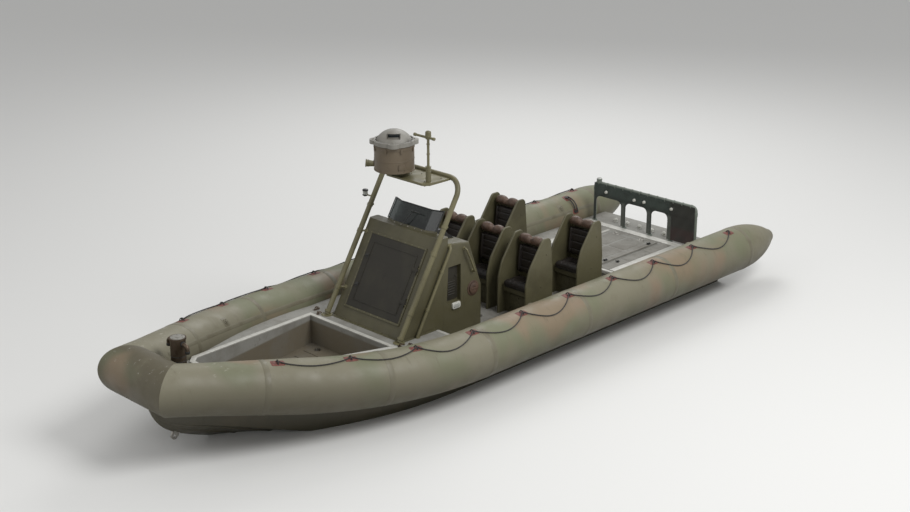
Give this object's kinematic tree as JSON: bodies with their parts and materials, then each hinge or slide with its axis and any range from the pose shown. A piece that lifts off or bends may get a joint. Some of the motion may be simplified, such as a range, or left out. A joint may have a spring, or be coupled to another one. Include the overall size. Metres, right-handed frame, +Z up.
{
  "type": "inflatable rib boat",
  "caption": "Rigid-hulled inflatable boat with a raked centre console, radar arch, bucket seats, aft guard and steerable waterjets.",
  "frame": {"origin": "On the centreline at the waterline, amidships", "axes": "+X to the bow, +Y to port, +Z up"},
  "size_m": [10.821, 3.632, 3.7461],
  "materials": {
    "hull": "moulded hull laminate, satin",
    "deck": "pale non-slip deck paint",
    "collar": "coated fabric, faintly mottled",
    "console": "olive-drab moulded shell",
    "dark_panel": "dark textured panel",
    "glass": "tinted screen",
    "arch": "painted tube",
    "radar": "matt grey-brown housing",
    "upholstery": "dark vinyl over foam",
    "bolster": "brown vinyl head pad",
    "canvas": "dark green canvas",
    "guard": "painted tube",
    "engine": "plain casing",
    "jet": "cast alloy",
    "fitting": "stainless fitting",
    "black": "black plastic"
  },
  "bodies": {
    "root": {"hull": "hull", "cockpit_sole": "deck", "foredeck": "deck", "aft_deck": "deck", "engine_port": "engine", "engine_starboard": "engine", "collar_port": "collar", "collar_starboard": "collar", "collar_bow": "collar", "tail_cone_port": "collar", "tail_cone_starboard": "collar", "console": "console", "console_front_panel": "dark_panel", "dashboard": "black", "windscreen": "glass", "windscreen_frame": "console", "helm_pump": "black", "throttle_control": "black", "arch_hoop": "arch", "arch_brace_port": "arch", "arch_brace_starboard": "arch", "radar_platform": "arch", "radar_drum": "radar", "radar_cap": "radar", "antenna_mast": "arch", "loudhailer": "arch", "navigation_lamp": "arch", "guard_frame": "guard", "guard_canvas": "canvas", "bow_bitt": "fitting", "stern_deck_caps": "fitting", "bow_eye": "fitting", "stern_eyes": "fitting", "jet_housing_port": "jet", "jet_housing_starboard": "jet", "seat_shell_fore_port": "console", "seat_cushion_fore_port": "upholstery", "seat_backrest_fore_port": "upholstery", "seat_shell_fore_middle": "console", "seat_cushion_fore_middle": "upholstery", "seat_backrest_fore_middle": "upholstery", "seat_shell_fore_starboard": "console", "seat_cushion_fore_starboard": "upholstery", "seat_backrest_fore_starboard": "upholstery", "seat_shell_aft_port": "console", "seat_cushion_aft_port": "upholstery", "seat_backrest_aft_port": "upholstery", "seat_shell_aft_starboard": "console", "seat_cushion_aft_starboard": "upholstery", "seat_backrest_aft_starboard": "upholstery"},
    "hatch_lid": {"engine_hatch_lid": "deck"},
    "helm_wheel": {"steering_wheel": "black"},
    "nozzle_port": {"steering_nozzle_port": "jet"},
    "nozzle_starboard": {"steering_nozzle_starboard": "jet"},
    "bucket_port": {"reversing_bucket_port": "jet"},
    "bucket_starboard": {"reversing_bucket_starboard": "jet"}
  },
  "joints": [
    {"name": "hatch_hinge", "type": "hinge", "parent": "root", "child": "hatch_lid", "pos_m": [-2.68, 0, 0.576], "axis": [0, 1, 0], "range_deg": [0, 80]},
    {"name": "helm_turn", "type": "hinge", "parent": "root", "child": "helm_wheel", "pos_m": [0.28007, 0, 1.33282], "axis": [-0.9427, 0, 0.3336], "range_deg": [-540, 540]},
    {"name": "nozzle_swing_port", "type": "hinge", "parent": "root", "child": "nozzle_port", "pos_m": [-5, 0.45, -0.06], "axis": [0, 0, 1], "range_deg": [-28, 28]},
    {"name": "bucket_drop_port", "type": "hinge", "parent": "root", "child": "bucket_port", "pos_m": [-5, 0.45, -0.06], "axis": [0, -1, 0], "range_deg": [0, 75]},
    {"name": "nozzle_swing_starboard", "type": "hinge", "parent": "root", "child": "nozzle_starboard", "pos_m": [-5, -0.45, -0.06], "axis": [0, 0, 1], "range_deg": [-28, 28]},
    {"name": "bucket_drop_starboard", "type": "hinge", "parent": "root", "child": "bucket_starboard", "pos_m": [-5, -0.45, -0.06], "axis": [0, -1, 0], "range_deg": [0, 75]}
  ],
  "couplings": [
    {"joint": "nozzle_swing_port", "follows": "helm_turn", "ratio": -0.05},
    {"joint": "nozzle_swing_starboard", "follows": "helm_turn", "ratio": -0.05}
  ]
}
